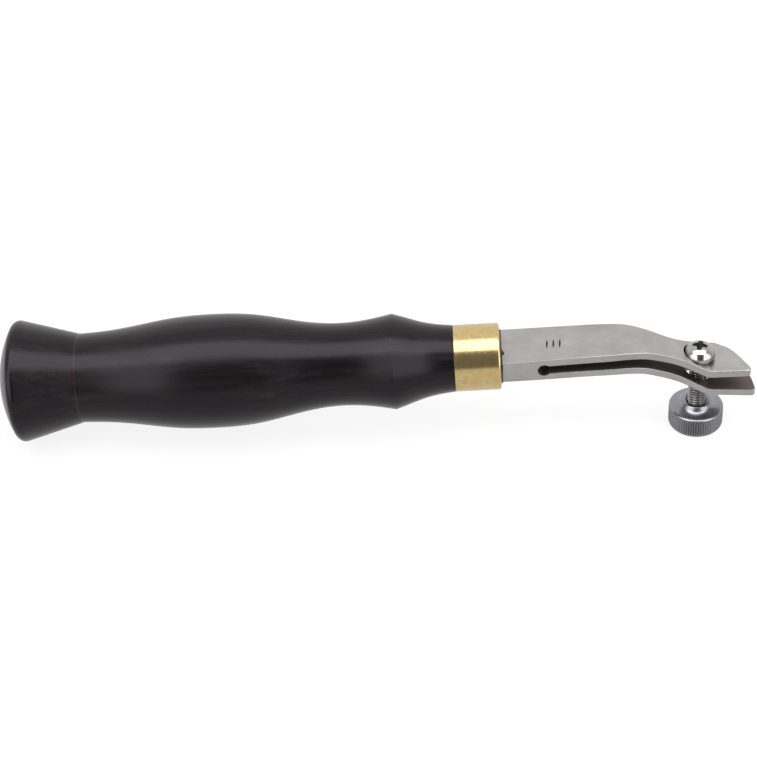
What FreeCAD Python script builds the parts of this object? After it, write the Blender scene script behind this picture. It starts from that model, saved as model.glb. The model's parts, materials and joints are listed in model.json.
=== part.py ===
"""Adjustable two-leaf edge beveler for leather, in millimetres.

A turned ebony handle carries a brass ferrule and a steel blade.  The blade is
split by a long slot into a fixed upper leaf and a springing lower leaf, and a
pan head screw with a knurled knob draws the two leaves together.

Every piece is drawn in the tool's own frame: X runs along the handle towards
the jaw, with 0 at the ferrule's front face, and Z is up through the blade.
rest() then tips the tool nose up until it stands on the butt's rim and on the
knob, and puts the origin at the middle of its footprint.
"""

import FreeCAD, Part

import math
import os

from FreeCAD import Vector

# ---- handle: distance along the axis, radius ----
BUTT_APEX_X = -109.7
BUTT_RIM_X = -105.8
BUTT_RIM_R = 13.65
BUTT_ROUNDING = 1.6
NECK = (-92.0, 9.78)
BULGE = [(-86.0, 10.1), (-79.0, 11.0), (-71.5, 12.1), (-62.5, 12.5), (-53.0, 11.9), (-44.5, 10.2),
         (-36.0, 9.1), (-29.0, 9.45)]
RIDGE = (-23.2, 10.48)
FLARE = [(-20.6, 9.65), (-17.0, 8.45), (-13.5, 7.7)]
TENON_R = 6.5
BORE_R = 3.6
BORE_END_X = -44.0

# ---- ferrule ----
FERRULE_R = 7.3
FERRULE_LENGTH = 10.1
FERRULE_WALL = 1.2
FERRULE_ROUNDING = 0.5
MOUTH_MARGIN = 0.25
LIP_SETBACK = 0.15

# ---- blade ----
ROOT_TOP_Z = 2.55
ROOT_BOTTOM_Z = -2.6
ROOT_RISE = 0.022
TOP_Z = 3.0
SLOPE_DEG = 22.8
BEND_R = 22.0
CREASE_X = 45.15
JAW_Z = -3.45
UPPER_T = 1.72
LOWER_T = 1.66
SLOT_ROOT_X = 9.3
SLOT_GAP = 2.0
TIP_GAP = 3.9
RELIEF_R = 1.45
KNUCKLE_R = 0.62
KNUCKLE_CLEARANCE = 0.05
TANG_END_X = -42.0
TANG_WIDTH = 4.6
TANG_HEIGHT = 4.2
TANG_POINT = 1.6

# half the blade's width along the axis, up to the jaw
HALF_WIDTHS = [(9.3, 5.78), (18.0, 5.66), (24.0, 5.5), (28.0, 5.05), (31.0, 4.4), (34.0, 3.85), (37.5, 3.48),
               (40.5, 3.8), (43.2, 4.55), (45.6, 5.05)]
ROOT_HALF_WIDTH = 5.95
# each tip's far side sweeps across to the near corner, where it ends; the lower leaf's is longer and blunter
UPPER_TIP = [(47.4, 5.16), (49.1, 4.48), (50.75, 3.02), (52.3, 0.5), (53.5, -2.2), (54.0, -4.2)]
LOWER_TIP = [(48.0, 5.2), (50.4, 4.6), (52.6, 3.1), (54.1, 1.0), (54.75, -1.0), (55.0, -2.9), (55.1, -4.3)]
TIP_CORNER_R = 1.1
JAW_NEAR_Y = -5.15

# ---- screw and knob, M4 with a 0.7 mm pitch ----
SCREW_X = 43.4
SCREW_LEAN_DEG = 1.2
SCREW_R = 2.0
SCREW_CLEARANCE = 0.07
HEAD_R = 3.4
HEAD_H = 2.85
HEAD_RIM = 0.3
SEAT_Z = -2.65
SEAT_GAP = 0.05
POCKET_R = 3.5
RECESS_R = 0.9
RECESS_DEPTH = 1.5
RECESS_WING = 0.9
RECESS_REACH = 1.65
SCREW_END_Z = -20.8
LEAF_HOLE_R = 2.15
LEAF_HOLE_BACK = 0.8
LEAF_HOLE_FORE = 0.25
KNOB_R = 6.0
KNOB_TOP_Z = -16.7
KNOB_BOTTOM_Z = -21.7
KNOB_HUB_R = 3.0
KNOB_HUB_Z = -15.3
KNOB_WAIST_R = 3.7
KNOB_ROUNDING = 0.7
KNOB_MOUTH_R = 2.45
KNOB_MOUTH_DEPTH = 0.4
KNOB_WAIST_DROP = 0.8
KNOB_BRIM_R = 5.4
KNOB_RIM_DROP = 0.3

CURVE_STEPS = 10
# how far an arc's middle lies from the corner of its square, as a share of the arc's radius
ARC_MIDDLE = 1 - math.sqrt(0.5)
PARTS = "parts"


def spline(points):
    """A smooth curve through the points."""
    curve = Part.BSplineCurve()
    curve.interpolate([Vector(*p) for p in points])
    return curve.toShape()


def line(a, b):
    return Part.makeLine(Vector(*a), Vector(*b))


def face(edges):
    return Part.Face(Part.Wire(Part.__sortEdges__(edges)))


def spin_profile(edges):
    """The solid that a closed profile in the XZ plane makes when it turns about X."""
    return face(edges).revolve(Vector(0, 0, 0), Vector(1, 0, 0), 360)


def x_rod(radius, x0, x1):
    return Part.makeCylinder(radius, x1 - x0, Vector(x0, 0, 0), Vector(1, 0, 0))


def z_rod(radius, z0, z1):
    return Part.makeCylinder(radius, z1 - z0, Vector(0, 0, z0))


def centred_box(x0, x1, width, z0, z1):
    return Part.makeBox(x1 - x0, width, z1 - z0, Vector(x0, -width / 2, z0))


# ---------------------------------------------------------------- blade lines

SLOPE = math.radians(SLOPE_DEG)
SLOPE_T = math.tan(SLOPE)
# the bend's centre: its arc leaves the flat top straight above it and meets the slope, which ends at the jaw
BEND_X = CREASE_X - (TOP_Z - BEND_R + BEND_R / math.cos(SLOPE) - JAW_Z) / SLOPE_T
BEND_Z = TOP_Z - BEND_R


def bar_line(x, depth):
    """Height of a line that runs along the blade this deep below its top face."""
    radius = BEND_R - depth
    if x <= BEND_X:
        return min(ROOT_TOP_Z + ROOT_RISE * x, TOP_Z) - depth
    if x <= BEND_X + radius * math.sin(SLOPE):
        return BEND_Z + math.sqrt(radius ** 2 - (x - BEND_X) ** 2)
    slope_z = BEND_Z + radius / math.cos(SLOPE) - (x - BEND_X) * SLOPE_T
    return max(slope_z, JAW_Z - depth)


def slot_gap(x):
    """The leaves stand apart by a gap that grows with the square of the distance from the slot's root."""
    reach = (x - SLOT_ROOT_X) / (UPPER_TIP[-1][0] - SLOT_ROOT_X)
    return SLOT_GAP + (TIP_GAP - SLOT_GAP) * reach ** 2


def top_z(x):
    return bar_line(x, 0.0)


def slot_top_z(x):
    return bar_line(x, UPPER_T)


def slot_bottom_z(x):
    return bar_line(x, UPPER_T) - slot_gap(x)


def bottom_z(x):
    return bar_line(x, UPPER_T + LOWER_T) - slot_gap(x)


def crease_x(depth):
    """Where the sloping line this deep meets the level line of the jaw."""
    radius = BEND_R - depth
    return BEND_X + (BEND_Z + radius / math.cos(SLOPE) - JAW_Z + depth) / SLOPE_T


def side_curves(height, depth, x0, x1):
    """Edges of one of the blade's long lines, broken at the crease before the jaw."""
    crease = crease_x(depth)
    curves = []
    for start, end in ((x0, crease), (crease, x1)):
        stations = [start + (end - start) * i / CURVE_STEPS for i in range(CURVE_STEPS + 1)]
        curves.append(spline([(x, 0, height(x)) for x in stations]))
    return curves


def leaf_side(upper_z, upper_depth, lower_z, lower_depth, x0, x1):
    """A leaf's side view as a face in the XZ plane."""
    edges = side_curves(upper_z, upper_depth, x0, x1) + side_curves(lower_z, lower_depth, x0, x1)
    edges.append(line((x0, 0, upper_z(x0)), (x0, 0, lower_z(x0))))
    edges.append(line((x1, 0, upper_z(x1)), (x1, 0, lower_z(x1))))
    return face(edges)


def across(side_face, width=20.0):
    """Carry a side view across the tool."""
    side_face.translate(Vector(0, -width / 2, 0))
    return side_face.extrude(Vector(0, width, 0))


def leaf_plan(x0, tip):
    """A leaf seen from above: waisted, with a tip that sweeps from the far side to the near corner."""
    near = [(x, -h, 0) for x, h in HALF_WIDTHS]
    far = [(x, h, 0) for x, h in HALF_WIDTHS]
    corner_x, corner_y = tip[-1]
    rise = corner_y - JAW_NEAR_Y
    corner_start = Vector(corner_x - TIP_CORNER_R, JAW_NEAR_Y, 0)
    corner_middle = Vector(corner_x - ARC_MIDDLE * TIP_CORNER_R, JAW_NEAR_Y + ARC_MIDDLE * rise, 0)
    edges = [spline(near), spline(far), spline([far[-1]] + [(x, y, 0) for x, y in tip])]
    edges.append(line(near[-1], corner_start))
    edges.append(Part.Arc(corner_start, corner_middle, Vector(corner_x, corner_y, 0)).toShape())
    start = HALF_WIDTHS[0]
    if x0 < start[0]:
        edges.append(line((x0, -ROOT_HALF_WIDTH, 0), near[0]))
        edges.append(line((x0, ROOT_HALF_WIDTH, 0), far[0]))
        edges.append(line((x0, -ROOT_HALF_WIDTH, 0), (x0, ROOT_HALF_WIDTH, 0)))
    else:
        edges.append(line(near[0], far[0]))
    plan = face(edges)
    plan.translate(Vector(0, 0, -20))
    return plan.extrude(Vector(0, 0, 40))


def y_rod(radius, x, z):
    return Part.makeCylinder(radius, 20.0, Vector(x, -10.0, z), Vector(0, 1, 0))


RELIEF_Z = slot_top_z(SLOT_ROOT_X) - SLOT_GAP / 2
HINGE_Z = (RELIEF_Z - RELIEF_R + bottom_z(SLOT_ROOT_X)) / 2


def on_screw_axis(shape):
    """Move a shape drawn about Z on to the screw's leaning axis."""
    shape.rotate(Vector(0, 0, 0), Vector(0, 1, 0), SCREW_LEAN_DEG)
    shape.translate(Vector(SCREW_X, 0, 0))
    return shape


# --------------------------------------------------------------------- pieces

def handle():
    rim = (BUTT_RIM_X, 0, BUTT_RIM_R)
    apex = (BUTT_APEX_X, 0, 0)
    height = BUTT_RIM_X - BUTT_APEX_X
    dome_r = (BUTT_RIM_R ** 2 + height ** 2) / (2 * height)
    mid_r = BUTT_RIM_R / 2
    mid = (BUTT_APEX_X + dome_r - math.sqrt(dome_r ** 2 - mid_r ** 2), 0, mid_r)
    neck = (NECK[0], 0, NECK[1])
    ridge = (RIDGE[0], 0, RIDGE[1])
    front = (-FERRULE_LENGTH, 0, FERRULE_R)
    edges = [Part.Arc(Vector(*apex), Vector(*mid), Vector(*rim)).toShape(), line(rim, neck)]
    edges.append(spline([neck] + [(x, 0, r) for x, r in BULGE] + [ridge]))
    edges.append(spline([ridge] + [(x, 0, r) for x, r in FLARE] + [front]))
    edges.append(line(front, (-FERRULE_LENGTH, 0, 0)))
    edges.append(line((-FERRULE_LENGTH, 0, 0), apex))
    turned = spin_profile(edges)
    rim_edges = [e for e in turned.Edges if abs(e.BoundBox.ZMax - BUTT_RIM_R) < 0.05 and e.BoundBox.XLength < 0.1]
    turned = turned.makeFillet(BUTT_ROUNDING, rim_edges)
    tenon = x_rod(TENON_R, -FERRULE_LENGTH - 1.0, -FERRULE_WALL)
    bore = x_rod(BORE_R, BORE_END_X, 0)
    return turned.fuse(tenon).cut(bore).removeSplitter()


def mouth(x0, x1):
    """The rectangle in the ferrule's front wall that the blade comes out of."""
    width = 2 * (ROOT_HALF_WIDTH + MOUTH_MARGIN)
    return centred_box(x0, x1, width, ROOT_BOTTOM_Z - MOUTH_MARGIN, ROOT_TOP_Z + MOUTH_MARGIN)


def ferrule():
    cup = x_rod(FERRULE_R, -FERRULE_LENGTH, 0)
    front = [e for e in cup.Edges if abs(e.BoundBox.XMin) < 0.01 and e.BoundBox.XLength < 0.01]
    cup = cup.makeFillet(FERRULE_ROUNDING, front)
    inside = x_rod(TENON_R, -FERRULE_LENGTH - 1.0, -FERRULE_WALL)
    return cup.cut(inside).cut(mouth(-FERRULE_WALL - 1.0, 1.0))


def tang():
    """A tapering spike, square in section."""
    def ring(x, scale):
        w = TANG_WIDTH / 2 * scale
        h = TANG_HEIGHT / 2 * scale
        corners = [Vector(x, -w, -h), Vector(x, w, -h), Vector(x, w, h), Vector(x, -w, h)]
        return Part.makePolygon(corners + corners[:1])
    return Part.makeLoft([ring(-FERRULE_WALL, 1.0), ring(TANG_END_X, TANG_POINT / TANG_WIDTH)], True)


def root():
    """The unsplit bar between the ferrule and the slot."""
    x0 = -FERRULE_WALL
    top = (x0, 0, ROOT_TOP_Z)
    bottom = (x0, 0, ROOT_BOTTOM_Z)
    slot_top = (SLOT_ROOT_X, 0, top_z(SLOT_ROOT_X))
    slot_bottom = (SLOT_ROOT_X, 0, bottom_z(SLOT_ROOT_X))
    edges = [line(bottom, top), line(top, slot_top), line(slot_top, slot_bottom), line(slot_bottom, bottom)]
    plan = leaf_plan(x0, UPPER_TIP)
    return across(face(edges)).common(plan)


def blade():
    side = leaf_side(top_z, 0.0, slot_top_z, UPPER_T, SLOT_ROOT_X, UPPER_TIP[-1][0] + 1.0)
    leaf = across(side).common(leaf_plan(SLOT_ROOT_X, UPPER_TIP))
    body = root().fuse(leaf).fuse(tang())
    body = body.cut(y_rod(RELIEF_R, SLOT_ROOT_X, RELIEF_Z))
    body = body.cut(y_rod(KNUCKLE_R + KNUCKLE_CLEARANCE, SLOT_ROOT_X, HINGE_Z))
    body = body.cut(on_screw_axis(z_rod(SCREW_R + SCREW_CLEARANCE, -10, 10)))
    body = body.cut(on_screw_axis(z_rod(POCKET_R, SEAT_Z, 10)))
    return body.removeSplitter()


def knuckle():
    """The round root end that the lower leaf bends about."""
    width = 2 * HALF_WIDTHS[0][1]
    return Part.makeCylinder(KNUCKLE_R, width, Vector(SLOT_ROOT_X, -width / 2, HINGE_Z), Vector(0, 1, 0))


def lower_leaf():
    side = leaf_side(slot_bottom_z, UPPER_T, bottom_z, UPPER_T + LOWER_T, SLOT_ROOT_X, LOWER_TIP[-1][0] + 1.0)
    leaf = across(side).common(leaf_plan(SLOT_ROOT_X, LOWER_TIP))
    leaf = leaf.cut(y_rod(RELIEF_R, SLOT_ROOT_X, RELIEF_Z))
    leaf = leaf.fuse(knuckle())
    hole = z_rod(LEAF_HOLE_R, -16, 0)
    back = hole.copy()
    back.translate(Vector(-LEAF_HOLE_BACK, 0, 0))
    fore = hole.copy()
    fore.translate(Vector(LEAF_HOLE_FORE, 0, 0))
    middle = Part.makeBox(LEAF_HOLE_BACK + LEAF_HOLE_FORE, 2 * LEAF_HOLE_R, 16,
                          Vector(-LEAF_HOLE_BACK, -LEAF_HOLE_R, -16))
    return leaf.cut(on_screw_axis(back.fuse([middle, fore]))).removeSplitter()


def tang_bed():
    """Black resin that beds the tang in the bore and fills the ferrule's mouth."""
    plug = x_rod(BORE_R, BORE_END_X, -FERRULE_WALL)
    lip = mouth(-FERRULE_WALL, -LIP_SETBACK)
    return plug.fuse(lip).cut(tang()).cut(root()).removeSplitter()


def adjusting_screw():
    """A pan head screw: a short upright rim, a crown that is a quarter ellipse, a cross recess and a plain shank."""
    seat = SEAT_Z + SEAT_GAP
    top = seat + HEAD_H
    shoulder = seat + HEAD_RIM
    angles = [math.pi / 2 * i / CURVE_STEPS for i in range(CURVE_STEPS + 1)]
    crown = spline([(HEAD_R * math.cos(a), 0, shoulder + (top - shoulder) * math.sin(a)) for a in angles])
    outline = [line((0, 0, seat), (HEAD_R, 0, seat)), line((HEAD_R, 0, seat), (HEAD_R, 0, shoulder)), crown,
               line((0, 0, top), (0, 0, seat))]
    head = face(outline).revolve(Vector(0, 0, 0), Vector(0, 0, 1), 360)
    floor = top - RECESS_DEPTH
    long_way = Part.makeBox(2 * RECESS_REACH, RECESS_WING, HEAD_H, Vector(-RECESS_REACH, -RECESS_WING / 2, floor))
    cross_way = long_way.copy()
    cross_way.rotate(Vector(0, 0, 0), Vector(0, 0, 1), 90)
    recess = long_way.fuse([cross_way, z_rod(RECESS_R, floor, floor + HEAD_H)])
    shank = z_rod(SCREW_R, SCREW_END_Z, seat)
    return on_screw_axis(head.cut(recess).fuse(shank).removeSplitter())


def thumb_knob():
    hub = (KNOB_HUB_R, 0, KNOB_HUB_Z)
    waist = (KNOB_WAIST_R, 0, KNOB_HUB_Z - KNOB_WAIST_DROP)
    brim = (KNOB_BRIM_R, 0, KNOB_TOP_Z)
    rim = (KNOB_R, 0, KNOB_TOP_Z - KNOB_RIM_DROP)
    low = (KNOB_R, 0, KNOB_BOTTOM_Z + KNOB_ROUNDING)
    foot = (KNOB_R - KNOB_ROUNDING, 0, KNOB_BOTTOM_Z)
    turn = KNOB_ROUNDING * ARC_MIDDLE
    middle = (KNOB_R - turn, 0, KNOB_BOTTOM_Z + turn)
    edges = [line((0, 0, KNOB_HUB_Z), hub), spline([hub, waist, brim]), line(brim, rim), line(rim, low)]
    edges.append(Part.Arc(Vector(*low), Vector(*middle), Vector(*foot)).toShape())
    edges.append(line(foot, (0, 0, KNOB_BOTTOM_Z)))
    edges.append(line((0, 0, KNOB_BOTTOM_Z), (0, 0, KNOB_HUB_Z)))
    knob = face(edges).revolve(Vector(0, 0, 0), Vector(0, 0, 1), 360)
    bore = z_rod(SCREW_R, KNOB_BOTTOM_Z - 1, KNOB_HUB_Z + 1)
    mouth_cut = z_rod(KNOB_MOUTH_R, KNOB_HUB_Z - KNOB_MOUTH_DEPTH, KNOB_HUB_Z + 1)
    return on_screw_axis(knob.cut(bore).cut(mouth_cut))


# ----------------------------------------------------------------------- pose

LEAN = math.radians(SCREW_LEAN_DEG)


def screw_point(radius, z):
    """A point beside the screw's axis, in the tool's own frame."""
    return (SCREW_X + radius * math.cos(LEAN) + z * math.sin(LEAN), z * math.cos(LEAN) - radius * math.sin(LEAN))


KNOB_FOOT = screw_point(KNOB_ROUNDING - KNOB_R, KNOB_BOTTOM_Z)


def butt_centre():
    """Centre of the rounding on the butt's rim, below the axis."""
    height = BUTT_RIM_X - BUTT_APEX_X
    dome_r = (BUTT_RIM_R ** 2 + height ** 2) / (2 * height)
    dome_x = BUTT_APEX_X + dome_r
    cone = math.atan2(BUTT_RIM_R - NECK[1], NECK[0] - BUTT_RIM_X)
    # on a line inside the cone by the rounding, and as far from the dome's centre as its inner sphere
    inner = dome_r - BUTT_ROUNDING
    x = BUTT_RIM_X
    for _ in range(20):
        r = BUTT_RIM_R - (x - BUTT_RIM_X) * math.tan(cone) - BUTT_ROUNDING / math.cos(cone)
        x = dome_x - math.sqrt(inner ** 2 - r ** 2)
    return (x, -r)


def rest_pitch():
    """The angle at which the butt's rim and the knob's foot touch the same level surface."""
    x, z = butt_centre()
    span = math.hypot(KNOB_FOOT[0] - x, KNOB_FOOT[1] - z)
    return math.atan2(z - KNOB_FOOT[1], KNOB_FOOT[0] - x) - math.asin(BUTT_ROUNDING / span)


PITCH = rest_pitch()


def tipped(point):
    x, z = point
    return (x * math.cos(PITCH) - z * math.sin(PITCH), x * math.sin(PITCH) + z * math.cos(PITCH))


def footprint_offset(shapes):
    """How far the tipped tool moves so that its lowest point is at 0 and its footprint is centred."""
    whole = Part.makeCompound(shapes).copy()
    whole.rotate(Vector(0, 0, 0), Vector(0, 1, 0), -math.degrees(PITCH))
    box = whole.optimalBoundingBox(False)
    return Vector(-(box.XMin + box.XMax) / 2, -(box.YMin + box.YMax) / 2, -box.ZMin)


def rest(shape, offset):
    shape.rotate(Vector(0, 0, 0), Vector(0, 1, 0), -math.degrees(PITCH))
    shape.translate(offset)
    return shape


def main():
    os.makedirs(PARTS, exist_ok=True)
    pieces = {
        "handle": handle(),
        "ferrule": ferrule(),
        "tang_bed": tang_bed(),
        "blade": blade(),
        "lower_leaf": lower_leaf(),
        "adjusting_screw": adjusting_screw(),
        "thumb_knob": thumb_knob(),
    }
    offset = footprint_offset(list(pieces.values()))
    for name, shape in pieces.items():
        placed = rest(shape, offset)
        placed.exportStep(os.path.join(PARTS, name + ".step"))
        box = placed.optimalBoundingBox(False)
        print(name, placed.isValid(), len(placed.Solids), round(placed.Volume, 1),
              [round(v, 2) for v in (box.XMin, box.XMax, box.YMin, box.YMax, box.ZMin, box.ZMax)])

    def placed_point(point):
        x, z = tipped(point)
        return [round(v / 1000, 6) for v in (x + offset.x, offset.y, z + offset.z)]

    print("pitch_deg", math.degrees(PITCH), "offset", offset)
    print("screw point", placed_point(screw_point(0, 0)))
    lean = PITCH - LEAN
    print("screw axis down", [round(math.sin(lean), 6), 0, round(-math.cos(lean), 6)])
    print("leaf hinge", placed_point((SLOT_ROOT_X, HINGE_Z)))
    print("knob foot", placed_point(screw_point(-(KNOB_R + SCREW_R) / 2, KNOB_BOTTOM_Z)))


main()
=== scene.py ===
"""A leather edge beveler: turned ebony handle, brass ferrule, split steel blade, adjusting screw and knob."""

import json
import math

import bpy
import bmesh
import numpy as np
from mathutils import Matrix, Vector


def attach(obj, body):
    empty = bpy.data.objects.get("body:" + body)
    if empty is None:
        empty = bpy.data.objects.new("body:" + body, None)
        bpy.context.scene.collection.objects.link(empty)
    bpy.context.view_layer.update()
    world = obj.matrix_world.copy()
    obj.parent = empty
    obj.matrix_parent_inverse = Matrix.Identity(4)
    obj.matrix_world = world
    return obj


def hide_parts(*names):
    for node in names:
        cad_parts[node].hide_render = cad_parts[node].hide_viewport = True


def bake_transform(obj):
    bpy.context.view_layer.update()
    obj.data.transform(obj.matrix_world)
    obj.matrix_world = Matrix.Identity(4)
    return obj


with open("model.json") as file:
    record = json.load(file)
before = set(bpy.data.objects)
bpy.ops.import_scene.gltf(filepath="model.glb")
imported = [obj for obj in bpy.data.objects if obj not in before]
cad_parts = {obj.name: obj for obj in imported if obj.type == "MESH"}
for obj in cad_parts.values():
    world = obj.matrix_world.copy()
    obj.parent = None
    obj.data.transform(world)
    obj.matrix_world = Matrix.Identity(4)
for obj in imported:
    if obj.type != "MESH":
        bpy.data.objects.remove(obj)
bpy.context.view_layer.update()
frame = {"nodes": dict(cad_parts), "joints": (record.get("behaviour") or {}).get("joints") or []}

# ---------------------------------------------------------------------------
# Sizes in millimetres, in the tool's own frame: X runs along the handle from
# the ferrule's front face towards the jaw, Y across, Z up.
# ---------------------------------------------------------------------------

BUTT_APEX_X, BUTT_RIM_X, BUTT_RIM_R, BUTT_ROUNDING = -109.7, -105.8, 13.65, 1.6
NECK = (-92.0, 9.78)
BULGE = [(-86.0, 10.1), (-79.0, 11.0), (-71.5, 12.1), (-62.5, 12.5), (-53.0, 11.9), (-44.5, 10.2), (-36.0, 9.1),
         (-29.0, 9.45)]
RIDGE = (-23.2, 10.48)
FLARE = [(-20.6, 9.65), (-17.0, 8.45), (-13.5, 7.7)]
TENON_R, BORE_R, BORE_END_X = 6.5, 3.6, -44.0

FERRULE_R, FERRULE_LENGTH, FERRULE_WALL, FERRULE_ROUNDING = 7.3, 10.1, 1.2, 0.5
MOUTH_HALF_WIDTH, MOUTH_LOW, MOUTH_HIGH = 6.2, -2.85, 2.8

ROOT_TOP_Z, ROOT_BOTTOM_Z, ROOT_RISE = 2.55, -2.6, 0.022
TOP_Z, JAW_Z, BEND_R, CREASE_X = 3.0, -3.45, 22.0, 45.15
SLOPE = math.radians(22.8)
UPPER_THICK, LOWER_THICK = 1.72, 1.66
SLOT_ROOT_X, SLOT_GAP, TIP_GAP, RELIEF_R = 9.3, 2.0, 3.9, 1.45
TANG_END_X, TANG_WIDTH, TANG_HEIGHT, TANG_POINT = -42.0, 4.6, 4.2, 1.6

ROOT_HALF_WIDTH = 5.95
HALF_WIDTHS = [(9.3, 5.78), (18.0, 5.66), (24.0, 5.5), (28.0, 5.05), (31.0, 4.4), (34.0, 3.85), (37.5, 3.48),
               (40.5, 3.8), (43.2, 4.55), (45.6, 5.05)]
UPPER_TIP = [(47.4, 5.16), (49.1, 4.48), (50.75, 3.02), (52.3, 0.5), (53.5, -2.2), (54.0, -4.2)]
LOWER_TIP = [(48.0, 5.2), (50.4, 4.6), (52.6, 3.1), (54.1, 1.0), (54.75, -1.0), (55.0, -2.9), (55.1, -4.3)]
TIP_CORNER_R, JAW_NEAR_Y = 1.1, -5.15

SCREW_X, SCREW_LEAN, SCREW_R, THREAD_PITCH = 43.4, math.radians(1.2), 2.0, 0.7
SEAT_Z, SEAT_GAP, HEAD_R, HEAD_H, HEAD_RIM, POCKET_R = -2.65, 0.05, 3.4, 2.85, 0.3, 3.5
SCREW_CLEARANCE, SCREW_END_Z = 0.07, -20.8
LEAF_HOLE_R, LEAF_HOLE_BACK, LEAF_HOLE_FORE = 2.15, 0.8, 0.25
KNOB_R, KNOB_TOP_Z, KNOB_BOTTOM_Z, KNOB_ROUNDING = 6.0, -16.7, -21.7, 0.7
KNOB_HUB_R, KNOB_HUB_Z, KNOB_WAIST_R, KNOB_MOUTH_R, KNOB_MOUTH_DEPTH = 3.0, -15.3, 3.7, 2.45, 0.4
KNOB_WAIST_DROP, KNOB_BRIM_R = 0.8, 5.4
KNURL_TEETH, KNURL_DEPTH = 66, 0.26

MM = 0.001

# ---------------------------------------------------------------------------
# The tool's place in the frame
# ---------------------------------------------------------------------------

joints = {j["name"]: j for j in frame["joints"]}
screw_joint = joints["screw_turn"]
screw_down = screw_joint["axis"]
# the screw's axis is SCREW_LEAN past straight down in the tool's frame, so what is left is the tool's tilt
PITCH = math.atan2(screw_down[0], -screw_down[2]) + SCREW_LEAN
ORIGIN = np.array(screw_joint["pos_m"]) - MM * SCREW_X * np.array([math.cos(PITCH), 0.0, math.sin(PITCH)])


def placed(points):
    """Turn points in the tool's millimetres by the tool's tilt about Y, then move them to its place, in metres."""
    x, y, z = np.moveaxis(np.asarray(points, float), -1, 0)
    c, s = math.cos(PITCH), math.sin(PITCH)
    return ORIGIN + MM * np.stack([x * c - z * s, y, x * s + z * c], -1)


def on_screw_axis(points):
    """Lean points drawn about Z by the screw's lean about Y, then move them to the screw."""
    x, y, z = np.moveaxis(np.asarray(points, float), -1, 0)
    c, s = math.cos(SCREW_LEAN), math.sin(SCREW_LEAN)
    return np.stack([SCREW_X + x * c + z * s, y, z * c - x * s], -1)


# ---------------------------------------------------------------------------
# Curves and surfaces
# ---------------------------------------------------------------------------

def curve_through(points, count):
    """A natural cubic spline by chord length: the second slopes solve one tridiagonal system, and each gap is
    the cubic that matches its two ends' places and second slopes."""
    p = np.asarray(points, float)
    t = np.concatenate([[0.0], np.cumsum(np.linalg.norm(np.diff(p, axis=0), axis=1))])
    h = np.diff(t)
    n = len(p)
    system = np.eye(n)
    right = np.zeros_like(p)
    rows = np.arange(1, n - 1)
    system[rows, rows - 1] = h[:-1]
    system[rows, rows] = 2 * (h[:-1] + h[1:])
    system[rows, rows + 1] = h[1:]
    right[1:-1] = 6 * ((p[2:] - p[1:-1]) / h[1:, None] - (p[1:-1] - p[:-2]) / h[:-1, None])
    m = np.linalg.solve(system, right)
    s = np.linspace(0.0, t[-1], count)
    i = np.clip(np.searchsorted(t, s, side="right") - 1, 0, n - 2)
    a, b, w = (t[i + 1] - s)[:, None], (s - t[i])[:, None], h[i][:, None]
    return (m[i] * a ** 3 + m[i + 1] * b ** 3) / (6 * w) + (p[i] / w - m[i] * w / 6) * a + (
        p[i + 1] / w - m[i + 1] * w / 6) * b


def arc(centre, radii, start_deg, end_deg, count):
    """Points on an ellipse's arc: centre plus radii times the cosine and sine of an evenly spaced angle."""
    angle = np.radians(np.linspace(start_deg, end_deg, count))
    return np.stack([centre[0] + radii[0] * np.cos(angle), centre[1] + radii[1] * np.sin(angle)], -1)


def new_piece(name, mesh, material, body, replaces=()):
    """Give a finished mesh its object, its finish, the body that it rides on and the parts that it stands for."""
    piece = bpy.data.objects.new(name, mesh)
    bpy.context.scene.collection.objects.link(piece)
    if not mesh.materials:
        mesh.materials.append(material)
    if body:
        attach(piece, body)
        if replaces:
            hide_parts(*replaces)
    return piece


def grid_mesh(name, points, around=True, along=False, finishes=()):
    """Quads between neighbours of a (rows, columns, 3) grid, joined round its columns or rows where asked.
    Rows that shrink to a point merge into a closed pole, and every face is turned outwards."""
    rows, columns = points.shape[:2]
    index = np.arange(rows * columns).reshape(rows, columns)
    if around:
        index = np.concatenate([index, index[:, :1]], 1)
    if along:
        index = np.concatenate([index, index[:1]], 0)
    quads = np.stack([index[:-1, :-1], index[1:, :-1], index[1:, 1:], index[:-1, 1:]], -1).reshape(-1, 4)
    mesh = bpy.data.meshes.new(name)
    mesh.from_pydata(points.reshape(-1, 3).tolist(), [], quads.tolist())
    form = bmesh.new()
    form.from_mesh(mesh)
    bmesh.ops.remove_doubles(form, verts=form.verts, dist=1e-7)
    bmesh.ops.recalc_face_normals(form, faces=form.faces)
    form.to_mesh(mesh)
    form.free()
    for finish in finishes:
        mesh.materials.append(finish)
    return mesh


def smooth(mesh, sharp_deg=32.0):
    """Shade smoothly, with a sharp edge wherever two faces meet at more than the angle."""
    mesh.shade_smooth()
    mesh.set_sharp_from_angle(angle=math.radians(sharp_deg))
    return mesh


def turned(profile, columns, about_x=False):
    """A (distance along, radius) profile turned about the X or Z axis: each row is a ring of that radius."""
    angle = np.linspace(0.0, 2 * math.pi, columns, endpoint=False)
    along, radius = profile[:, :1], profile[:, 1:]
    ring_a, ring_b = radius * np.cos(angle), radius * np.sin(angle)
    axis = np.broadcast_to(along, ring_a.shape)
    return np.stack([axis, ring_a, ring_b] if about_x else [ring_a, ring_b, axis], -1)


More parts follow.
